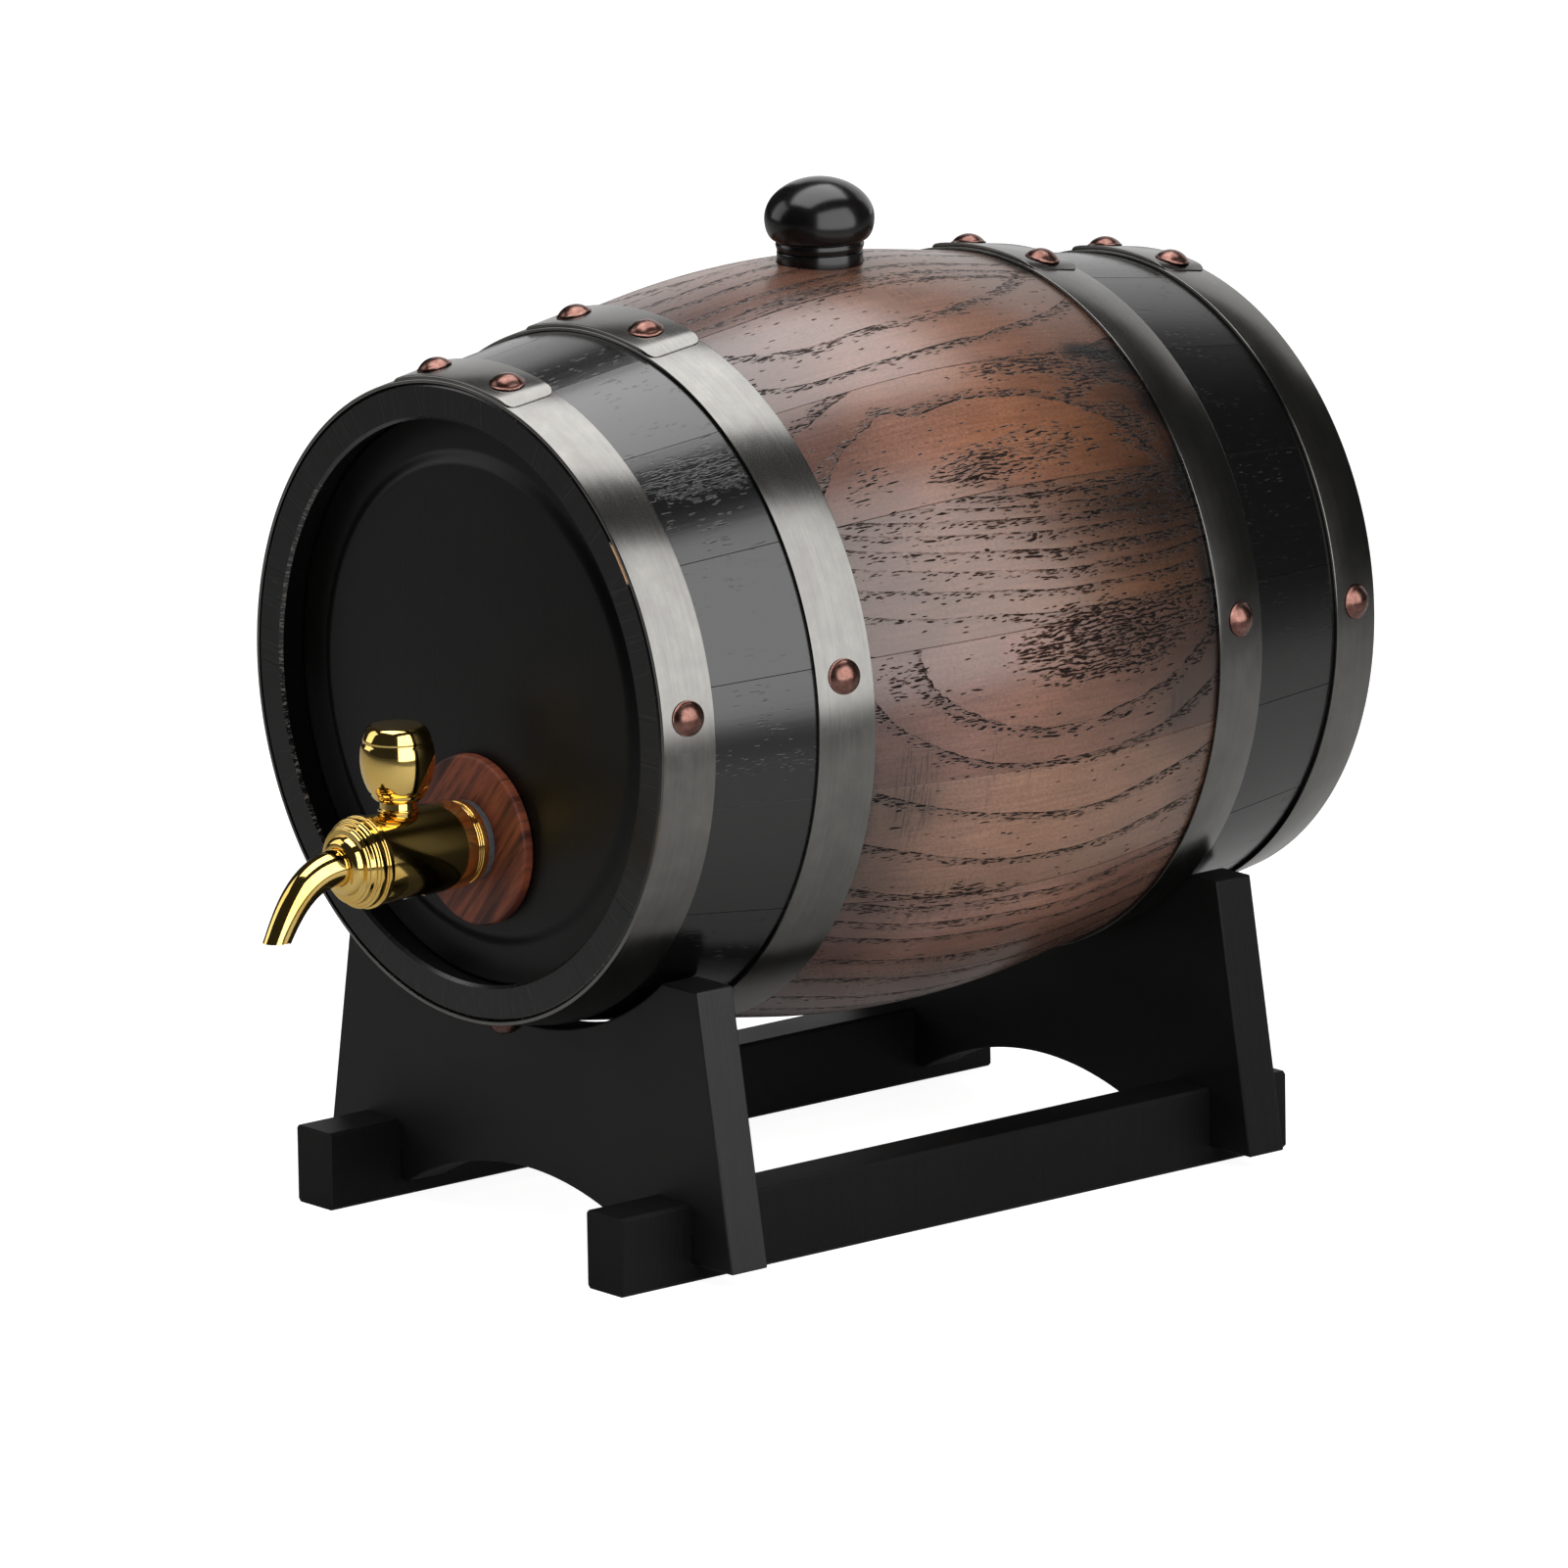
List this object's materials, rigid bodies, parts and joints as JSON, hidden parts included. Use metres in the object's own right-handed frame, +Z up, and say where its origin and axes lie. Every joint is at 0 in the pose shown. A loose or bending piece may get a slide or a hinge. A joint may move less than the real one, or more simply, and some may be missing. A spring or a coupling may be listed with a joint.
{
  "type": "cask drink dispenser",
  "caption": "Small oak cask lying in a cradle stand, with steel hoops and copper rivets, a bung on top and a gilt key tap with a curved spout low in the front head.",
  "frame": {"origin": "middle of the base of the whole object's bounding box, on the plane that the rails stand on", "axes": "+Z up; -Y is the way the tap points, along the axis of the cask; +X to the right of someone who looks along +Y at the tap"},
  "size_m": [0.1912, 0.2945, 0.2564],
  "materials": {
    "stave_wood": "stained open-pored hardwood, brown between the inner hoops and black outside them, satin",
    "head_wood": "black painted hardwood, satin",
    "stand_wood": "black painted board, matt",
    "hoop_steel": "brushed dark steel",
    "rivet_copper": "antique copper plated, satin",
    "rosette_wood": "stained hardwood, satin",
    "seal_rubber": "matt",
    "tap_gilt": "gold-tone plating, polished",
    "zinc_steel": "zinc plated",
    "bung_lacquer": "turned hardwood in gloss black lacquer",
    "bung_cork": "cork"
  },
  "bodies": {
    "stand": {"stand_front_plate": "stand_wood", "stand_rear_plate": "stand_wood", "left_rail": "stand_wood", "right_rail": "stand_wood", "stand_screws": "zinc_steel"},
    "cask": {"stave_1": "stave_wood", "stave_2": "stave_wood", "stave_3": "stave_wood", "stave_4": "stave_wood", "stave_5": "stave_wood", "stave_6": "stave_wood", "stave_7": "stave_wood", "stave_8": "stave_wood", "stave_9": "stave_wood", "stave_10": "stave_wood", "stave_11": "stave_wood", "stave_12": "stave_wood", "stave_13": "stave_wood", "stave_14": "stave_wood", "stave_15": "stave_wood", "stave_16": "stave_wood", "stave_17": "stave_wood", "front_head": "head_wood", "rear_head": "head_wood", "front_head_hoop": "hoop_steel", "front_quarter_hoop": "hoop_steel", "rear_quarter_hoop": "hoop_steel", "rear_head_hoop": "hoop_steel", "front_head_rivets": "rivet_copper", "front_quarter_rivets": "rivet_copper", "rear_quarter_rivets": "rivet_copper", "rear_head_rivets": "rivet_copper", "tap_rosette": "rosette_wood", "tap_gasket": "seal_rubber", "tap_flange": "tap_gilt", "tap_body": "tap_gilt", "tap_collar": "tap_gilt", "tap_spout": "tap_gilt", "tap_inner_gasket": "seal_rubber", "tap_lock_nut": "zinc_steel"},
    "key": {"key_plug": "tap_gilt", "key_knob": "tap_gilt", "key_o_rings": "seal_rubber", "key_washer": "zinc_steel", "key_screw": "zinc_steel"},
    "bung": {"bung_knob": "bung_lacquer", "bung_stopper": "bung_cork"}
  },
  "joints": [
    {"name": "cask_lift", "type": "slide", "parent": "stand", "child": "cask", "axis": [0, 0, 1], "range_m": [0, 0.09]},
    {"name": "key_turn", "type": "hinge", "parent": "cask", "child": "key", "pos_m": [0, -0.10455, 0.10423], "axis": [0, 0, 1], "range_deg": [0, 90]},
    {"name": "bung_pull", "type": "slide", "parent": "cask", "child": "bung", "axis": [0, 0, 1], "range_m": [0, 0.035]}
  ]
}
